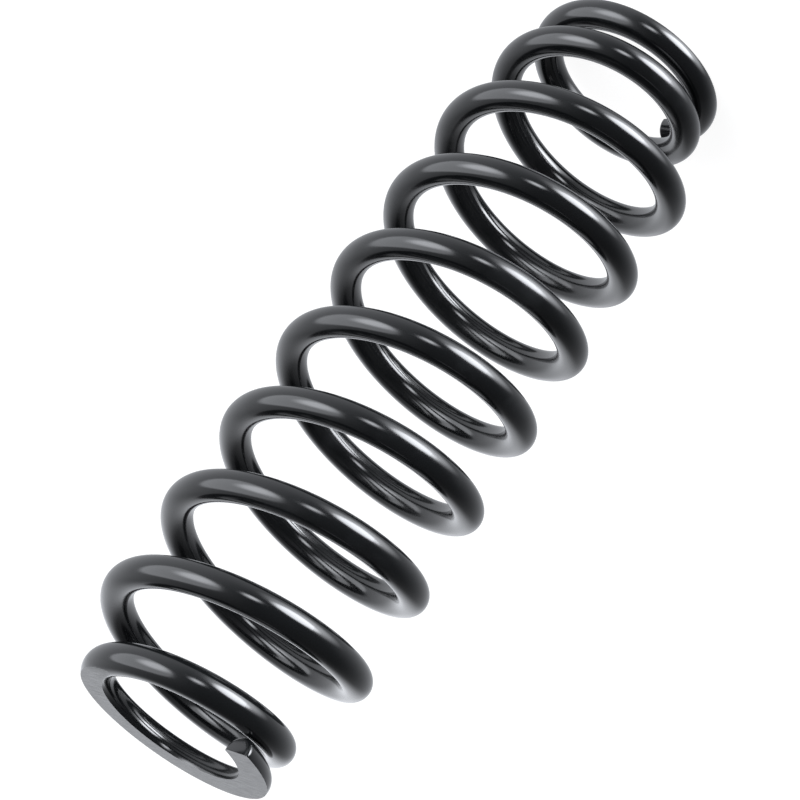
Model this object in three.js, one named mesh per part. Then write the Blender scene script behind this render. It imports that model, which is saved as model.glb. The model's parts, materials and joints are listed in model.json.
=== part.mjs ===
// Coil compression spring for a vehicle suspension: one round wire wound right-handed, with
// both ends closed, drawn in to a smaller diameter and ground flat.
// Millimetres, +Z up along the spring's axis. The origin is the middle of the lower ground
// face, and the lower wire tip lies on the +X side.
//
// The wire is divided by radial planes into two end coils and a run of third-of-a-turn
// sections, so that the sections can slide down the axis as the spring is compressed.

import * as THREE from 'three';

// Driving dimensions.
const WIRE_DIAMETER = 12;
const COIL_MEAN_DIAMETER = 89.5;
const END_MEAN_DIAMETER = 68;
const FREE_LENGTH = 332;
const TOTAL_TURNS = 10.24;

// Each end, in turns counted from its wire tip. The wire lies nearly flat for the part of a
// turn that is ground, then climbs over its own tip, then opens to the pitch of the open
// coils. Each change is given by where it starts and over how many turns it goes, and so is
// the growing of the diameter.
const LOWER_END = {
  flatPitch: 6,
  climbsAt: 0.3,
  climbsOver: 0.4,
  climbPitch: 18.8,
  pitchOpensAt: 1.2,
  pitchOpensOver: 0.6,
  diameterGrowsAt: 1.12,
  diameterGrowsOver: 0.9,
};
const UPPER_END = {
  flatPitch: 3.5,
  climbsAt: 0.4,
  climbsOver: 0.4,
  climbPitch: 25.6,
  pitchOpensAt: 0.9,
  pitchOpensOver: 1,
  diameterGrowsAt: 1.04,
  diameterGrowsOver: 0.55,
};

// The grinding stops this far outside the wire's axis at each tip.
const TIP_AXIS_DEPTH = 0.7;
// The sharp edge round each cut wire tip is taken off.
const TIP_CHAMFER = 1.6;

// Division of the wire.
const SECTIONS_PER_TURN = 3;
const END_COIL_TURNS = 1.12;
const SECTION_GAP = 0.3;

// Fineness of the faceted wire.
const FACETS_ROUND_WIRE = 12;
const FACET_STEP = 1 / 24;

const COAT_COLOUR = 0x17181a;
const TURN = 2 * Math.PI;

const smoothStep = (t) => {
  const clamped = Math.min(Math.max(t, 0), 1);
  return clamped * clamped * (3 - 2 * clamped);
};

// The area under smoothStep from 0 to t.
const smoothStepArea = (t) => {
  if (t <= 0) return 0;
  if (t >= 1) return t - 0.5;
  return t ** 3 - t ** 4 / 2;
};

// Turns gone by without the full effect of a change, this many turns from the tip.
const turnsBefore = (turns, startsAt, goesOver) =>
  turns - goesOver * smoothStepArea((turns - startsAt) / goesOver);

const turnsNotOpened = (end, turns) =>
  turnsBefore(turns, end.pitchOpensAt, end.pitchOpensOver);

// How much lower the wire lies than at one steady pitch, this many turns from its tip.
function riseLost(end, steadyPitch, turns) {
  const notClimbing = turnsBefore(turns, end.climbsAt, end.climbsOver);
  return (steadyPitch - end.climbPitch) * turnsNotOpened(end, turns)
    + (end.climbPitch - end.flatPitch) * notClimbing;
}

// The open coils' pitch is what is left for them out of the free length.
const ACTIVE_PITCH = (FREE_LENGTH - 2 * TIP_AXIS_DEPTH
  + riseLost(LOWER_END, 0, TOTAL_TURNS) + riseLost(UPPER_END, 0, TOTAL_TURNS))
  / (TOTAL_TURNS - turnsNotOpened(LOWER_END, TOTAL_TURNS)
    - turnsNotOpened(UPPER_END, TOTAL_TURNS));

// Height of the wire's axis, so many turns up from the lower tip.
function axisHeight(turns) {
  const lowerLoss = riseLost(LOWER_END, ACTIVE_PITCH, turns);
  const upperLoss = riseLost(UPPER_END, ACTIVE_PITCH, TOTAL_TURNS)
    - riseLost(UPPER_END, ACTIVE_PITCH, TOTAL_TURNS - turns);
  return TIP_AXIS_DEPTH + ACTIVE_PITCH * turns - lowerLoss - upperLoss;
}

// Distance of the wire's axis from the spring's axis.
function coilRadius(turns) {
  const drawnIn = (COIL_MEAN_DIAMETER - END_MEAN_DIAMETER) / 2;
  const lower = 1 - smoothStep(
    (turns - LOWER_END.diameterGrowsAt) / LOWER_END.diameterGrowsOver);
  const upper = 1 - smoothStep(
    (TOTAL_TURNS - turns - UPPER_END.diameterGrowsAt) / UPPER_END.diameterGrowsOver);
  return COIL_MEAN_DIAMETER / 2 - drawnIn * (lower + upper);
}

// How steeply the wire climbs. A radial plane cuts the wire a little taller than it is wide.
function heightStretch(turns) {
  const small = 0.001;
  const rise = (axisHeight(turns + small) - axisHeight(turns - small)) / (2 * small);
  return Math.hypot(1, rise / (TURN * coilRadius(turns)));
}

// One ring of points: the wire cut by the radial plane at this many turns. Whatever would
// stand past a ground face is pulled back to it, which leaves the flat that grinding leaves.
function wireRing(turns, wireRadius) {
  const angle = turns * TURN;
  const radius = coilRadius(turns);
  const height = axisHeight(turns);
  const stretch = heightStretch(turns);
  const ring = [];
  for (let i = 0; i < FACETS_ROUND_WIRE; i += 1) {
    const around = (i / FACETS_ROUND_WIRE) * TURN;
    const outward = radius + wireRadius * Math.cos(around);
    const up = height + wireRadius * stretch * Math.sin(around);
    const ground = Math.min(Math.max(up, 0), FREE_LENGTH);
    ring.push([outward * Math.cos(angle), outward * Math.sin(angle), ground]);
  }
  return ring;
}

// A closed solid through a row of rings, with a fan of triangles over each end.
function solidThroughRings(rings) {
  const sides = FACETS_ROUND_WIRE;
  const triangles = [];
  for (let r = 0; r + 1 < rings.length; r += 1) {
    for (let i = 0; i < sides; i += 1) {
      const here = r * sides + i;
      const beside = r * sides + (i + 1) % sides;
      triangles.push(here, here + sides, beside);
      triangles.push(beside, here + sides, beside + sides);
    }
  }
  const last = (rings.length - 1) * sides;
  for (let i = 1; i + 1 < sides; i += 1) {
    triangles.push(0, i, i + 1);
    triangles.push(last, last + i + 1, last + i);
  }
  const geometry = new THREE.BufferGeometry();
  geometry.setAttribute('position', new THREE.Float32BufferAttribute(rings.flat(2), 3));
  geometry.setIndex(triangles);
  geometry.computeVertexNormals();
  return geometry;
}

const tipChamferTurns = (turns) => TIP_CHAMFER / (TURN * coilRadius(turns));

// The wire between two places. A place at a wire tip gets the chamfered end, and a place
// between two sections stays half the gap away from its plane.
function wireSection(from, to) {
  const halfGap = SECTION_GAP / 2 / (TURN * COIL_MEAN_DIAMETER / 2);
  const steps = Math.max(2, Math.round((to - from) / FACET_STEP));
  const isLowerTip = from === 0;
  const isUpperTip = to === TOTAL_TURNS;
  const start = isLowerTip ? tipChamferTurns(0) : from + halfGap;
  const end = isUpperTip ? TOTAL_TURNS - tipChamferTurns(TOTAL_TURNS) : to - halfGap;
  const wireRadius = WIRE_DIAMETER / 2;
  const rings = [];
  if (isLowerTip) rings.push(wireRing(0, wireRadius - TIP_CHAMFER));
  for (let i = 0; i <= steps; i += 1) {
    rings.push(wireRing(start + (end - start) * (i / steps), wireRadius));
  }
  if (isUpperTip) rings.push(wireRing(TOTAL_TURNS, wireRadius - TIP_CHAMFER));
  return solidThroughRings(rings);
}

function coatedWire(name, from, to) {
  const blackCoat = new THREE.MeshStandardMaterial({
    color: COAT_COLOUR,
    roughness: 0.25,
    metalness: 0,
  });
  const mesh = new THREE.Mesh(wireSection(from, to), blackCoat);
  mesh.name = name;
  return mesh;
}

const spring = new THREE.Group();
spring.add(coatedWire('lower_end_coil', 0, END_COIL_TURNS));

const activeSections = Math.round(
  (TOTAL_TURNS - 2 * END_COIL_TURNS) * SECTIONS_PER_TURN);
for (let i = 0; i < activeSections; i += 1) {
  const name = `coil_section_${String(i + 1).padStart(2, '0')}`;
  const from = END_COIL_TURNS + i / SECTIONS_PER_TURN;
  spring.add(coatedWire(name, from, from + 1 / SECTIONS_PER_TURN));
}

spring.add(coatedWire('upper_end_coil', TOTAL_TURNS - END_COIL_TURNS, TOTAL_TURNS));

export default spring;
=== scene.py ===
"""Coil compression spring: the fine surface, the black coat and the studio around it.

One round steel wire is wound right-handed. Both ends are closed, drawn in to a smaller
diameter and ground flat, and the whole spring is coated gloss black. The wire is made in
pieces that meet end to end. The two end pieces are rigid, and each piece between them
lies across one of the slides.
"""

import json
import math

import bmesh
import bpy
from bpy.props import FloatProperty, FloatVectorProperty, IntProperty, PointerProperty
from mathutils import Matrix, Quaternion, Vector

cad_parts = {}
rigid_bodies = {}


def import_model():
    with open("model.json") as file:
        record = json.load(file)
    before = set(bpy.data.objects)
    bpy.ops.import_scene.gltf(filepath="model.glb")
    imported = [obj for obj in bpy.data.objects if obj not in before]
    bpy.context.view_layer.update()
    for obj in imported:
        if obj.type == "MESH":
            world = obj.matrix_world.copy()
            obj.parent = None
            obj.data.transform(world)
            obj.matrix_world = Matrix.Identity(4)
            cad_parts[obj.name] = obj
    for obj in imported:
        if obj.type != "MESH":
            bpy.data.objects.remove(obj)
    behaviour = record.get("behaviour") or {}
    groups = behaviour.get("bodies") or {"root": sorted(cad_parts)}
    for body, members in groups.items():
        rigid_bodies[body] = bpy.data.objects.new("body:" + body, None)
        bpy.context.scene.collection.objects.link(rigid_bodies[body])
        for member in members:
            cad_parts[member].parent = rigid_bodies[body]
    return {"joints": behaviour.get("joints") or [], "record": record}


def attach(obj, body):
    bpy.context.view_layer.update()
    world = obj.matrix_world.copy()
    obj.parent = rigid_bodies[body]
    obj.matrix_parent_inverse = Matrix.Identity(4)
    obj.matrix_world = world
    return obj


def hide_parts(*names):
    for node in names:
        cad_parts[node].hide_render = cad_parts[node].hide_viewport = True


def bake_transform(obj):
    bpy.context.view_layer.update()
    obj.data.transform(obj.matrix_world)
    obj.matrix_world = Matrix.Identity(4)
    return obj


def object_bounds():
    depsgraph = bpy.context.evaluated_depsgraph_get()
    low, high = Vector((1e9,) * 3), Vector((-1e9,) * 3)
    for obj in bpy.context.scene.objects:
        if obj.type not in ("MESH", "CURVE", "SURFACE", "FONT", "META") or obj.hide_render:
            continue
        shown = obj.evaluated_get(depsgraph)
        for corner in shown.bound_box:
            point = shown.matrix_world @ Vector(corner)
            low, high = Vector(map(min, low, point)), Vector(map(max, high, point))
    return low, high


bl_info = {
    "name": "Coil Spring Looks",
    "version": (1, 0, 0),
    "blender": (4, 5, 0),
    "location": "View3D > Sidebar > Coil Spring",
    "description": "Fine surface, black coat and studio for a ground suspension coil spring",
    "category": "Object",
}

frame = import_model()
CAD_LOW, CAD_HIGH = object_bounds()

MM = 0.001
TURN = 2 * math.pi

# The bodies in the order that the wire passes through them, from the lower tip up.
BODIES = [frame["joints"][0]["parent"]] + [joint["child"] for joint in frame["joints"]]
NODES = frame["record"]["behaviour"]["bodies"]


# ---------------------------------------------------------------- sizes and colours


def length(name, description, millimetres):
    """A property that holds a length, with its default given in millimetres."""
    return FloatProperty(
        name=name, description=description, default=millimetres * MM, min=0.0,
        unit="LENGTH", precision=5)


def turns(name, description, default):
    """A property that holds a number of turns of wire."""
    return FloatProperty(name=name, description=description, default=default, min=0.0)


def amount(name, description, default, highest=1.0):
    """A property that holds a share or a strength."""
    return FloatProperty(
        name=name, description=description, default=default, min=0.0, max=highest)


def linear_colour(code):
    """The linear red, green, blue and alpha of an sRGB hex colour such as 1a1b1d."""
    shares = [int(code[i:i + 2], 16) / 255 for i in (0, 2, 4)]
    linear = [s / 12.92 if s <= 0.04045 else ((s + 0.055) / 1.055) ** 2.4 for s in shares]
    return (*linear, 1.0)


def colour(name, description, code):
    """A property that holds a colour, with its default given as an sRGB hex colour."""
    return FloatVectorProperty(
        name=name, description=description, default=linear_colour(code), size=4,
        min=0.0, max=1.0, subtype="COLOR")


class SpringSizes(bpy.types.PropertyGroup):
    """Sizes of the wire and of the spring that it is wound into."""

    wire_diameter: length("Wire diameter", "Diameter of the coated wire", 12)
    mean_diameter: length("Mean diameter", "Open coils, middle of wire to middle of wire", 89.5)
    end_diameter: length("End mean diameter", "Drawn-in end coils, middle to middle", 68)
    free_length: length(
        "Free length", "Unloaded, from ground face to ground face",
        (CAD_HIGH.z - CAD_LOW.z) / MM)
    total_turns: turns("Total turns", "Turns of wire from tip to tip", 10.24)
    tip_depth: length("Tip depth", "Wire axis inside the ground face, at each tip", 0.7)
    tip_round: length("Tip round", "Rounding of the edge round each cut tip", 1.5)
    wire_sides: IntProperty(
        name="Wire sides", description="Facets round the wire", default=56, min=12, max=96)
    step_degrees: FloatProperty(
        name="Step", description="Degrees of coil from one ring of the mesh to the next",
        default=2.0, min=0.5, max=10.0)


class LowerEnd(bpy.types.PropertyGroup):
    """How the lower end opens out, in turns counted from its wire tip."""

    flat_pitch: length("Flat pitch", "Rise of one turn next to the tip", 6.0)
    climbs_at: turns("Climbs at", "Where the wire starts to climb over its tip", 0.3)
    climbs_over: turns("Climbs over", "Turns over which the climb sets in", 0.4)
    climb_pitch: length("Climb pitch", "Rise of one turn past the tip", 18.8)
    pitch_opens_at: turns("Pitch opens at", "Where the coils start to open", 1.2)
    pitch_opens_over: turns("Pitch opens over", "Turns that the opening takes", 0.6)
    width_grows_at: turns("Width grows at", "Where the diameter starts to grow", 1.12)
    width_grows_over: turns("Width grows over", "Turns that the growing takes", 0.9)


class UpperEnd(bpy.types.PropertyGroup):
    """How the upper end opens out, in turns counted from its wire tip."""

    flat_pitch: length("Flat pitch", "Rise of one turn next to the tip", 3.5)
    climbs_at: turns("Climbs at", "Where the wire starts to climb over its tip", 0.4)
    climbs_over: turns("Climbs over", "Turns over which the climb sets in", 0.4)
    climb_pitch: length("Climb pitch", "Rise of one turn past the tip", 25.6)
    pitch_opens_at: turns("Pitch opens at", "Where the coils start to open", 0.9)
    pitch_opens_over: turns("Pitch opens over", "Turns that the opening takes", 1.0)
    width_grows_at: turns("Width grows at", "Where the diameter starts to grow", 1.04)
    width_grows_over: turns("Width grows over", "Turns that the growing takes", 0.55)


class CoatLook(bpy.types.PropertyGroup):
    """Colours and finish of the coat."""

    coat_colour: colour("Coat", "Gloss black coat", "090a0b")
    # The ground faces' grey is partly painted sheen: a base colour lighter than the black coat,
    # standing in for the even light that the coat reflects there.
    ground_painted_sheen_colour: colour("Ground faces", "The coat over the ground faces", "2b2b2b")
    scuff_colour: colour("Scuffs", "The coat where handling has dulled it", "1b1c1d")
    coat_roughness: amount("Coat roughness", "Roughness of the wound wire", 0.12)
    dull_roughness: amount("Dull roughness", "Roughness where the coat is dulled", 0.22)
    ground_roughness: amount("Ground roughness", "Roughness of the ground faces", 0.3)
    peel_size: length("Orange peel size", "Width of the coat's shallow waves", 1.6)
    peel_height: length("Orange peel height", "Height of the coat's shallow waves", 0.004)
    lay_width: length("Grinding lay width", "Spacing of the grinding marks", 0.5)
    lay_height: length("Grinding lay height", "Height of the marks under the coat", 0.006)


class StudioLook(bpy.types.PropertyGroup):
    """Floor and lights."""

    floor_colour: colour("Floor", "Light table", "fbfbfb")
    floor_glow: amount("Floor glow", "Share of the floor's light that is its own", 0.8)
    room_colour: colour("Room", "What shows beyond the floor", "ffffff")
    room_pale: amount("Pale room", "Brightness of the room where it is pale", 0.72, 10.0)
    room_dark: amount("Dark room", "Brightness of the room where it is dark", 0.12, 10.0)
    lamp_colour: colour("Lamp colour", "Cool white light of the soft lamps", "f6f9ff")


# ---------------------------------------------------------------- the wire's path


def smooth_step(t):
    """Rises from 0 to 1 while t goes from 0 to 1, level at both ends."""
    clamped = min(max(t, 0.0), 1.0)
    return clamped * clamped * (3 - 2 * clamped)


def smooth_step_area(t):
    """The area under smooth_step from 0 to t."""
    if t <= 0:
        return 0.0
    if t >= 1:
        return t - 0.5
    return t ** 3 - t ** 4 / 2


def turns_before(count, starts_at, goes_over):
    """Turns gone by without the full effect of a change, count turns from the tip."""
    return count - goes_over * smooth_step_area((count - starts_at) / goes_over)


def turns_not_opened(end, count):
    """Turns gone by without the open coils' pitch, count turns from an end's tip."""
    return turns_before(count, end.pitch_opens_at, end.pitch_opens_over)


def rise_lost(end, steady_pitch, count):
    """How much lower the wire lies than at one steady pitch, count turns from its tip."""
    not_climbing = turns_before(count, end.climbs_at, end.climbs_over)
    lost = (steady_pitch - end.climb_pitch) * turns_not_opened(end, count)
    return lost + (end.climb_pitch - end.flat_pitch) * not_climbing


# The wire's slope is read over this many turns either way.
SLOPE_STEP = 0.001


class WirePath:
    """The line that the wire's axis follows, by turns counted up from the lower tip."""

    def __init__(self, scene):
        self.sizes = scene.spring_sizes
        self.lower = scene.spring_lower_end
        self.upper = scene.spring_upper_end
        self.total = self.sizes.total_turns
        rise = self.sizes.free_length - 2 * self.sizes.tip_depth
        open_turns = self.total
        for end in (self.lower, self.upper):
            rise += rise_lost(end, 0.0, self.total)
            open_turns -= turns_not_opened(end, self.total)
        self.open_pitch = rise / open_turns

    def height(self, count):
        """Height of the wire's axis."""
        pitch = self.open_pitch
        upper_loss = rise_lost(self.upper, pitch, self.total)
        upper_loss -= rise_lost(self.upper, pitch, self.total - count)
        risen = pitch * count - rise_lost(self.lower, pitch, count) - upper_loss
        return CAD_LOW.z + self.sizes.tip_depth + risen

    def radius(self, count):
        """Distance of the wire's axis from the spring's axis."""
        drawn_in = (self.sizes.mean_diameter - self.sizes.end_diameter) / 2
        from_lower = (count - self.lower.width_grows_at) / self.lower.width_grows_over
        from_upper = self.total - count - self.upper.width_grows_at
        from_upper /= self.upper.width_grows_over
        narrow = 2 - smooth_step(from_lower) - smooth_step(from_upper)
        return self.sizes.mean_diameter / 2 - drawn_in * narrow

    def ring_place(self, count):
        """Puts a flat circle where a radial plane cuts the wire.

        The wire climbs, so the cut is a little taller than it is wide.
        """
        above = self.height(count + SLOPE_STEP)
        below = self.height(count - SLOPE_STEP)
        rise = (above - below) / (2 * SLOPE_STEP)
        radius = self.radius(count)
        taller = math.hypot(1, rise / (TURN * radius))
        outward = Vector((math.cos(TURN * count), math.sin(TURN * count), 0))
        back = Vector((math.sin(TURN * count), -math.cos(TURN * count), 0))
        middle = outward * radius + Vector((0, 0, self.height(count)))
        columns = Matrix((outward, Vector((0, 0, taller)), back)).transposed()
        return Matrix.Translation(middle) @ columns.to_4x4()

    def turns_for(self, distance, count):
        """Turns that a distance along the wire takes up there."""
        return distance / (TURN * self.radius(count))


# ---------------------------------------------------------------- making the wire


def wind_wire(path, stops):
    """A closed length of wire through rings at the given stops, and its two end caps."""
    bm = bmesh.new()
    here = path.ring_place(stops[0])
    bmesh.ops.create_circle(
        bm, cap_ends=True, segments=path.sizes.wire_sides,
        radius=path.sizes.wire_diameter / 2, matrix=here)
    first_cap = bm.faces[:][0]
    edges = list(first_cap.edges)
    for stop in stops[1:]:
        there = path.ring_place(stop)
        grown = bmesh.ops.extrude_edge_only(bm, edges=edges)["geom"]
        verts = {item for item in grown if isinstance(item, bmesh.types.BMVert)}
        edges = [item for item in grown
                 if isinstance(item, bmesh.types.BMEdge) and set(item.verts) <= verts]
        bmesh.ops.transform(bm, matrix=there @ here.inverted(), verts=list(verts))
        here = there
    last_cap = bmesh.ops.contextual_create(bm, geom=edges)["faces"][0]
    bmesh.ops.recalc_face_normals(bm, faces=bm.faces)
    return bm, first_cap, last_cap


def even_stops(path, start, end):
    """Stops from start to end, a mesh step apart or a little less."""
    steps = math.ceil((end - start) * 360 / path.sizes.step_degrees)
    return [start + (end - start) * i / steps for i in range(steps + 1)]


# A ring this close to a cut between two pieces, in turns, gives both the same normals there.
SEAM_STEP = 0.1 / 360
# Wire left free of rings at a cut tip, as a multiple of the tip's rounding.
TIP_ROOM = 1.3
TIP_ROUND_SEGMENTS = 5


def piece_stops(path, start, end):
    """Stops of one piece. A wire tip gets room for its rounding, and a cut a seam ring."""
    at_lower_tip = start <= 0
    at_upper_tip = end >= path.total
    tip_room = TIP_ROOM * path.sizes.tip_round
    inner_start = start + (path.turns_for(tip_room, start) if at_lower_tip else SEAM_STEP)
    inner_end = end - (path.turns_for(tip_room, end) if at_upper_tip else SEAM_STEP)
    return [start] + even_stops(path, inner_start, inner_end) + [end]


def round_tip(bm, cap, path):
    """Rounds the edge round a cut wire tip."""
    bmesh.ops.bevel(
        bm, geom=list(cap.edges), offset=path.sizes.tip_round, offset_type="OFFSET",
        segments=TIP_ROUND_SEGMENTS, profile=0.5, affect="EDGES", material=-1)


# The second material of an end piece is the one for its ground face.
GROUND_MATERIAL = 1
# Points this close to the grinding plane are moved onto it.
GRINDING_SNAP = 0.02 * MM
# Edges that turn by more than this stay crisp.
SHARP_EDGE = math.radians(30)


def grind_flat(bm, height, outwards):
    """Cuts the wire off level at a height, as grinding does."""
    everything = list(bm.verts) + list(bm.edges) + list(bm.faces)
    cut = bmesh.ops.bisect_plane(
        bm, geom=everything, dist=GRINDING_SNAP, plane_co=(0, 0, height),
        plane_no=(0, 0, outwards), clear_outer=True)["geom_cut"]
    edges = [item for item in cut if isinstance(item, bmesh.types.BMEdge)]
    ground = bmesh.ops.contextual_create(bm, geom=edges)["faces"]
    bmesh.ops.recalc_face_normals(bm, faces=bm.faces)
    for face in ground:
        face.material_index = GROUND_MATERIAL


def finish_shading(bm):
    """Smooth walls with crisp edges."""
    for face in bm.faces:
        face.smooth = True
    for edge in bm.edges:
        edge.smooth = edge.calc_face_angle(0.0) < SHARP_EDGE


def show_piece(bm, name, materials):
    """Turns the finished bmesh into an object with its place in its mesh."""
    mesh = bpy.data.meshes.new(name)
    bm.to_mesh(mesh)
    bm.free()
    for material in materials:
        mesh.materials.append(material)
    piece = bpy.data.objects.new(name, mesh)
    bpy.context.scene.collection.objects.link(piece)
    return piece


# ---------------------------------------------------------------- materials


def add_node(tree, kind, settings=None, links=None):
    """Adds a node, sets its fields and sockets, and links its sockets to outputs."""
    node = tree.nodes.new(kind)
    for key, value in (settings or {}).items():
        if key in node.inputs:
            node.inputs[key].default_value = value
        else:
            setattr(node, key, value)
    for key, output in (links or {}).items():
        tree.links.new(output, node.inputs[key])
    return node


def new_material(name):
    """An empty node material and its tree."""
    material = bpy.data.materials.new(name)
    material.use_nodes = True
    material.node_tree.nodes.clear()
    return material, material.node_tree


# Index of refraction of the powder coat's polyester binder.
COAT_IOR = 1.5
# Size of the patches that handling dulls. Shares of the pattern's height say where the
# dulling sets in and is full, and the same for the greying.
HANDLED_PATCH = 38 * MM
DULL_FROM = 0.45
DULL_FULLY = 0.75
GREY_FROM = 0.55
GREY_FULLY = 0.8


def gloss_black_coat(look):
    """Gloss black powder coat, baked on the steel wire.

    It gives the eye a deep, nearly black body with sharp reflections that waver a little,
    because the coat sets with a shallow orange peel. Broad patches are slightly duller
    where the spring has been handled, and a few are greyer too.
    """
    material, tree = new_material("gloss_black_powder_coat")
    place = add_node(tree, "ShaderNodeTexCoord").outputs["Object"]
    handled = add_node(
        tree, "ShaderNodeTexNoise",
        {"Scale": 1 / HANDLED_PATCH, "Detail": 4.0, "Roughness": 0.6}, {"Vector": place})
    dullness = add_node(tree, "ShaderNodeMapRange", {
        "From Min": DULL_FROM,
        "From Max": DULL_FULLY,
        "To Min": look.coat_roughness,
        "To Max": look.dull_roughness,
    }, {"Value": handled.outputs["Fac"]})
    tint = add_node(tree, "ShaderNodeValToRGB", links={"Fac": handled.outputs["Fac"]})
    clean, greyed = tint.color_ramp.elements
    clean.position = GREY_FROM
    clean.color = look.coat_colour
    greyed.position = GREY_FULLY
    greyed.color = look.scuff_colour
    peel = add_node(
        tree, "ShaderNodeTexNoise",
        {"Scale": 1 / look.peel_size, "Detail": 1.0, "Roughness": 0.4}, {"Vector": place})
    surface = add_node(
        tree, "ShaderNodeBump",
        {"Strength": 1.0, "Distance": look.peel_height}, {"Height": peel.outputs["Fac"]})
    shader = add_node(tree, "ShaderNodeBsdfPrincipled", {"IOR": COAT_IOR}, {
        "Base Color": tint.outputs["Color"],
        "Roughness": dullness.outputs["Result"],
        "Normal": surface.outputs["Normal"],
    })
    add_node(tree, "ShaderNodeOutputMaterial", links={"Surface": shader.outputs["BSDF"]})
    return material


# The width of a grinding mark as a share of its length.
LAY_STRETCH = 0.06
# Shares of the pattern's height between which the satin changes, and by how much it
# changes, below and above the ground faces' own roughness.
SATIN_FROM = 0.3
SATIN_FULLY = 0.7
SATIN_SMOOTHER = 0.05
SATIN_ROUGHER = 0.08


def ground_face_coat(look):
    """The same powder coat over a ground steel face.

    It gives the eye a flat, satin, dark grey ring. Its base colour is a painted sheen: lighter
    than the black coat, it stands in for the even light that the coat reflects there. The
    straight grinding marks under the coat spread the real reflections, and show as faint
    parallel streaks.
    """
    material, tree = new_material("coat_over_ground_steel_painted_sheen")
    place = add_node(tree, "ShaderNodeTexCoord").outputs["Object"]
    along = add_node(tree, "ShaderNodeMapping", links={"Vector": place})
    across = 1 / look.lay_width
    along.inputs["Scale"].default_value = (across, across * LAY_STRETCH, 0)
    marks = add_node(
        tree, "ShaderNodeTexNoise",
        {"Scale": 1.0, "Detail": 3.0, "Roughness": 0.6}, {"Vector": along.outputs["Vector"]})
    surface = add_node(
        tree, "ShaderNodeBump",
        {"Strength": 1.0, "Distance": look.lay_height}, {"Height": marks.outputs["Fac"]})
    satin = add_node(tree, "ShaderNodeMapRange", {
        "From Min": SATIN_FROM,
        "From Max": SATIN_FULLY,
        "To Min": look.ground_roughness - SATIN_SMOOTHER,
        "To Max": look.ground_roughness + SATIN_ROUGHER,
    }, {"Value": marks.outputs["Fac"]})
    # The base colour is a painted sheen, lighter than the coat, standing in for reflected light
    # on the ground faces.
    shader = add_node(
        tree, "ShaderNodeBsdfPrincipled",
        {"Base Color": look.ground_painted_sheen_colour, "IOR": COAT_IOR},
        {"Roughness": satin.outputs["Result"], "Normal": surface.outputs["Normal"]})
    add_node(tree, "ShaderNodeOutputMaterial", links={"Surface": shader.outputs["BSDF"]})
    return material


def coat_materials(scene):
    """The two finishes, made once and then shared by every piece."""
    look = scene.spring_coat
    wound = bpy.data.materials.get("gloss_black_powder_coat") or gloss_black_coat(look)
    ground = bpy.data.materials.get("coat_over_ground_steel_painted_sheen") or ground_face_coat(look)
    return [wound, ground]


# ---------------------------------------------------------------- operators

SLIDES = len(frame["joints"])
# The CAD wire is divided at every third of a turn.
SLIDE_SPACING = 1 / 3


def slide_turns(path, index):
    """Where along the wire a slide lies: evenly spaced between the two end coils."""
    end_coil = path.total / 2 - SLIDE_SPACING * (SLIDES - 1) / 2
    return end_coil + index * SLIDE_SPACING


class SPRING_OT_lower_end(bpy.types.Operator):
    """Adds the rigid lower end: closed coil, cut tip and ground face"""

    bl_idname = "spring.lower_end"
    bl_label = "Lower End"

    def execute(self, context):
        path = WirePath(context.scene)
        end = slide_turns(path, 0) - SLIDE_SPACING / 2
        bm, tip, _ = wind_wire(path, piece_stops(path, 0, end))
        round_tip(bm, tip, path)
        grind_flat(bm, CAD_LOW.z, -1)
        finish_shading(bm)
        piece = show_piece(bm, "lower_end_wire", coat_materials(context.scene))
        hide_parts(*NODES[BODIES[0]])
        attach(piece, BODIES[0])
        return {"FINISHED"}


class SPRING_OT_upper_end(bpy.types.Operator):
    """Adds the rigid upper end: closed coil, cut tip and ground face"""

    bl_idname = "spring.upper_end"
    bl_label = "Upper End"

    def execute(self, context):
        path = WirePath(context.scene)
        start = slide_turns(path, SLIDES - 1) + SLIDE_SPACING / 2
        bm, _, tip = wind_wire(path, piece_stops(path, start, path.total))
        round_tip(bm, tip, path)
        grind_flat(bm, CAD_HIGH.z, 1)
        finish_shading(bm)
        piece = show_piece(bm, "upper_end_wire", coat_materials(context.scene))
        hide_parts(*NODES[BODIES[-1]])
        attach(piece, BODIES[-1])
        return {"FINISHED"}


class SPRING_OT_active_coils(bpy.types.Operator):
    """Adds the open coils, one piece of wire over each slide"""

    bl_idname = "spring.active_coils"
    bl_label = "Active Coils"

    def execute(self, context):
        path = WirePath(context.scene)
        materials = coat_materials(context.scene)
        for index in range(SLIDES):
            middle = slide_turns(path, index)
            start = middle - SLIDE_SPACING / 2
            end = middle + SLIDE_SPACING / 2
            bm, _, _ = wind_wire(path, piece_stops(path, start, end))
            finish_shading(bm)
            piece = show_piece(bm, f"active_wire_{index + 1:02d}", materials)
            below, above = BODIES[index], BODIES[index + 1]
            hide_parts(*NODES[below], *NODES[above])
            blend_over_slide(piece, path, middle)
        return {"FINISHED"}


def blend_over_slide(piece, path, middle):
    """Bakes a piece's place into its mesh. How far the piece reaches either side of its slide,
    and the slide's height, are worked out but not used.
    """
    half = SLIDE_SPACING / 2
    sideways = math.sin(TURN * half)
    wire_radius = path.sizes.wire_diameter / 2
    start = -(path.radius(middle - half) - wire_radius) * sideways
    end = (path.radius(middle + half) - wire_radius) * sideways
    level = Vector((0, 0, path.height(middle)))
    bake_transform(piece)


class SPRING_OT_studio(bpy.types.Operator):
    """Adds the pale floor, the lights and the camera"""

    bl_idname = "spring.studio"
    bl_label = "Studio"

    def execute(self, context):
        look = context.scene.spring_studio
        add_floor(look)
        add_world(look)
        add_camera()
        context.scene.view_settings.view_transform = "Standard"
        return {"FINISHED"}


# ---------------------------------------------------------------- studio

FLOOR_HALF_WIDTH = 6.0
FLOOR_DROP = 0.2 * MM
FLOOR_GLOW_STRENGTH = 1.2


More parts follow.
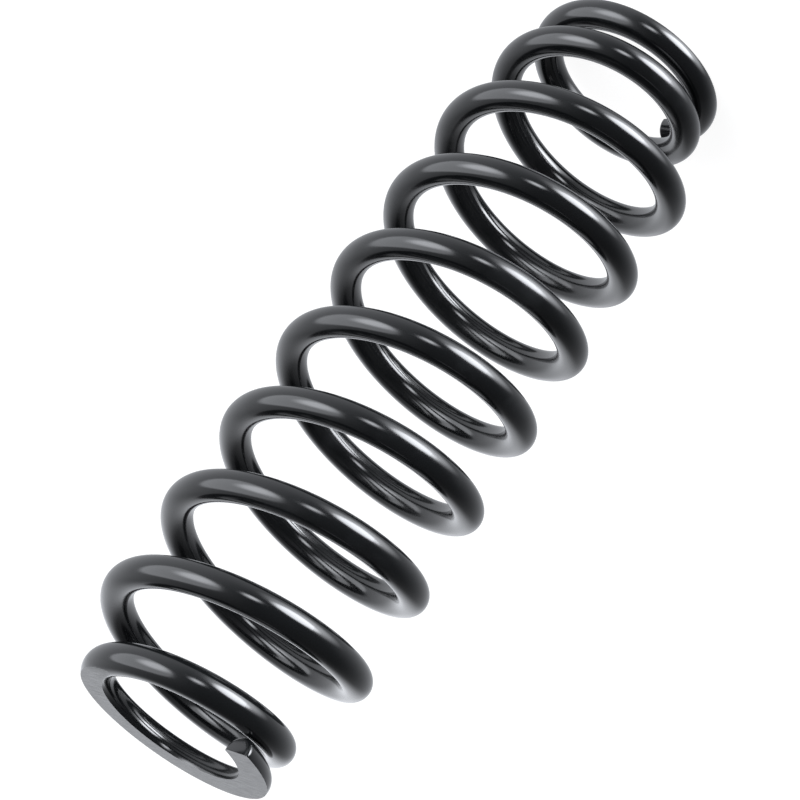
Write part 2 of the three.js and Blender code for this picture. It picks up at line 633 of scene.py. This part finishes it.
def add_floor(look):
    """A wide light table of white opal acrylic, just under the spring.

    It glows from within, so the spring leaves only a faint shadow on it. Light from
    below passes through it to the spring, so it shows to the camera and nothing else.
    """
    bm = bmesh.new()
    place = Matrix.Translation((0, 0, CAD_LOW.z - FLOOR_DROP))
    bmesh.ops.create_grid(bm, x_segments=1, y_segments=1, size=FLOOR_HALF_WIDTH, matrix=place)
    mesh = bpy.data.meshes.new("studio_floor")
    bm.to_mesh(mesh)
    bm.free()
    material, tree = new_material("opal_acrylic_light_table")
    surface = add_node(tree, "ShaderNodeBsdfDiffuse", {"Color": look.floor_colour})
    glow = add_node(
        tree, "ShaderNodeEmission",
        {"Color": look.floor_colour, "Strength": FLOOR_GLOW_STRENGTH})
    both = add_node(tree, "ShaderNodeMixShader", {"Fac": look.floor_glow})
    tree.links.new(surface.outputs["BSDF"], both.inputs[1])
    tree.links.new(glow.outputs["Emission"], both.inputs[2])
    add_node(tree, "ShaderNodeOutputMaterial", links={"Surface": both.outputs["Shader"]})
    mesh.materials.append(material)
    floor = bpy.data.objects.new("studio_floor", mesh)
    floor.visible_diffuse = False
    floor.visible_glossy = False
    floor.visible_shadow = False
    bpy.context.scene.collection.objects.link(floor)


# Each round soft lamp: its azimuth and elevation, where its even light ends and where its
# edge fades out, all in degrees, and its brightness.
SOFT_LAMPS = (
    # the big softbox at the left: its hot middle, its face and the glow beside it
    (-93, 20, 8, 24, 6.0),
    (-75, 28, 32, 38, 2.7),
    (-55, 12, 35, 90, 0.7),
    # the small lamp beside the camera, taller than it is wide
    (-138, 5, 3, 11, 6.0),
    (-138, -2, 3, 11, 8.0),
    # the lamp under the table: its face and its glow through the acrylic
    (-174, -33, 14, 24, 17.0),
    (-183, -46, 8, 38, 7.5),
    # the pale sheet behind the spring, which the upper ground face reflects
    (37, 14, 12, 40, 0.9),
    # the faint glow below, towards the big softbox
    (-75, -70, 10, 50, 0.2),
)
# The room is dark above and behind the camera, and pale from there down and round: the
# azimuth and elevation of the dark corner's middle, and where it ends and starts to fade.
DARK_CORNER = (-175, 52, 125, 50)


def add_world(look):
    """A room with soft lamps, far enough away to light every coil alike."""
    world = bpy.data.worlds.new("studio_room")
    world.use_nodes = True
    tree = world.node_tree
    tree.nodes.clear()
    direction = add_node(tree, "ShaderNodeTexCoord").outputs["Generated"]

    def round_glow(azimuth, elevation, inner, outer, dimmest, brightest):
        """Brightest within the inner angle of a direction, and dimmest past the outer."""
        centre = from_axis(math.radians(azimuth), math.radians(elevation))
        cosine = add_node(
            tree, "ShaderNodeVectorMath", {"operation": "DOT_PRODUCT"}, {0: direction})
        cosine.inputs[1].default_value = centre
        angle = add_node(
            tree, "ShaderNodeMath", {"operation": "ARCCOSINE"}, {0: cosine.outputs["Value"]})
        return add_node(tree, "ShaderNodeMapRange", {
            "interpolation_type": "SMOOTHSTEP",
            "From Min": math.radians(inner),
            "From Max": math.radians(outer),
            "To Min": brightest,
            "To Max": dimmest,
        }, {"Value": angle.outputs["Value"]}).outputs["Result"]

    azimuth, elevation, pale_from, dark_to = DARK_CORNER
    total = round_glow(
        azimuth, elevation, dark_to, pale_from, look.room_pale, look.room_dark)
    for azimuth, elevation, inner, outer, brightness in SOFT_LAMPS:
        lamp = round_glow(azimuth, elevation, inner, outer, 0.0, brightness)
        total = add_node(
            tree, "ShaderNodeMath", {"operation": "ADD"}, {0: total, 1: lamp}).outputs["Value"]
    lit = add_node(
        tree, "ShaderNodeBackground", {"Color": look.lamp_colour}, {"Strength": total})
    seen = add_node(
        tree, "ShaderNodeBackground", {"Color": look.room_colour, "Strength": 1.0})
    camera_sees = add_node(tree, "ShaderNodeLightPath").outputs["Is Camera Ray"]
    mixed = add_node(tree, "ShaderNodeMixShader", links={
        "Fac": camera_sees,
        1: lit.outputs["Background"],
        2: seen.outputs["Background"],
    })
    add_node(tree, "ShaderNodeOutputWorld", links={"Surface": mixed.outputs["Shader"]})
    bpy.context.scene.world = world


CAMERA_AIM = Vector((2.6 * MM, -4.0 * MM, 175.8 * MM))
CAMERA_DISTANCE = 0.9245
CAMERA_AZIMUTH = math.radians(-143.68)
CAMERA_ELEVATION = math.radians(23.49)
CAMERA_ROLL = math.radians(-145.32)
CAMERA_LENS = 109.92
CAMERA_SENSOR = 36
CAMERA_SEES_FROM = 0.01
CAMERA_SEES_TO = 50


def from_axis(azimuth, elevation):
    """Unit direction from the spring. Azimuth 0 is towards -Y, and 90 towards +X."""
    level = math.cos(elevation)
    return Vector((
        math.sin(azimuth) * level, -math.cos(azimuth) * level, math.sin(elevation)))


def add_camera():
    """A long lens, looking down on the upper end and rolled over."""
    data = bpy.data.cameras.new("camera")
    data.sensor_width = CAMERA_SENSOR
    data.lens = CAMERA_LENS
    camera = bpy.data.objects.new("camera", data)
    bpy.context.scene.collection.objects.link(camera)
    back = from_axis(CAMERA_AZIMUTH, CAMERA_ELEVATION)
    camera.location = CAMERA_AIM + back * CAMERA_DISTANCE
    level = (-back).to_track_quat("-Z", "Y")
    camera.rotation_euler = (level @ Quaternion((0, 0, 1), CAMERA_ROLL)).to_euler()
    data.clip_start = CAMERA_SEES_FROM
    data.clip_end = CAMERA_SEES_TO
    bpy.context.scene.camera = camera


# ---------------------------------------------------------------- panel and registration


class SPRING_PT_build(bpy.types.Panel):
    """Lists the steps that build the spring"""

    bl_idname = "SPRING_PT_build"
    bl_label = "Coil Spring"
    bl_space_type = "VIEW_3D"
    bl_region_type = "UI"
    bl_category = "Coil Spring"

    def draw(self, context):
        for operator in OPERATORS:
            self.layout.operator(operator.bl_idname)
        for holder in PROPERTY_HOLDERS:
            box = self.layout.box()
            group = getattr(context.scene, holder)
            for name in group.__annotations__:
                box.prop(group, name)


PROPERTY_HOLDERS = {
    "spring_sizes": SpringSizes,
    "spring_lower_end": LowerEnd,
    "spring_upper_end": UpperEnd,
    "spring_coat": CoatLook,
    "spring_studio": StudioLook,
}
OPERATORS = (
    SPRING_OT_lower_end,
    SPRING_OT_active_coils,
    SPRING_OT_upper_end,
    SPRING_OT_studio,
)


def register():
    for group in PROPERTY_HOLDERS.values():
        bpy.utils.register_class(group)
    for holder, group in PROPERTY_HOLDERS.items():
        setattr(bpy.types.Scene, holder, PointerProperty(type=group))
    for operator in OPERATORS:
        bpy.utils.register_class(operator)
    bpy.utils.register_class(SPRING_PT_build)


def unregister():
    bpy.utils.unregister_class(SPRING_PT_build)
    for operator in reversed(OPERATORS):
        bpy.utils.unregister_class(operator)
    for holder, group in reversed(PROPERTY_HOLDERS.items()):
        delattr(bpy.types.Scene, holder)
        bpy.utils.unregister_class(group)


def main():
    register()
    bpy.ops.spring.lower_end()
    bpy.ops.spring.active_coils()
    bpy.ops.spring.upper_end()
    bpy.ops.spring.studio()


if __name__ == "__main__":
    main()
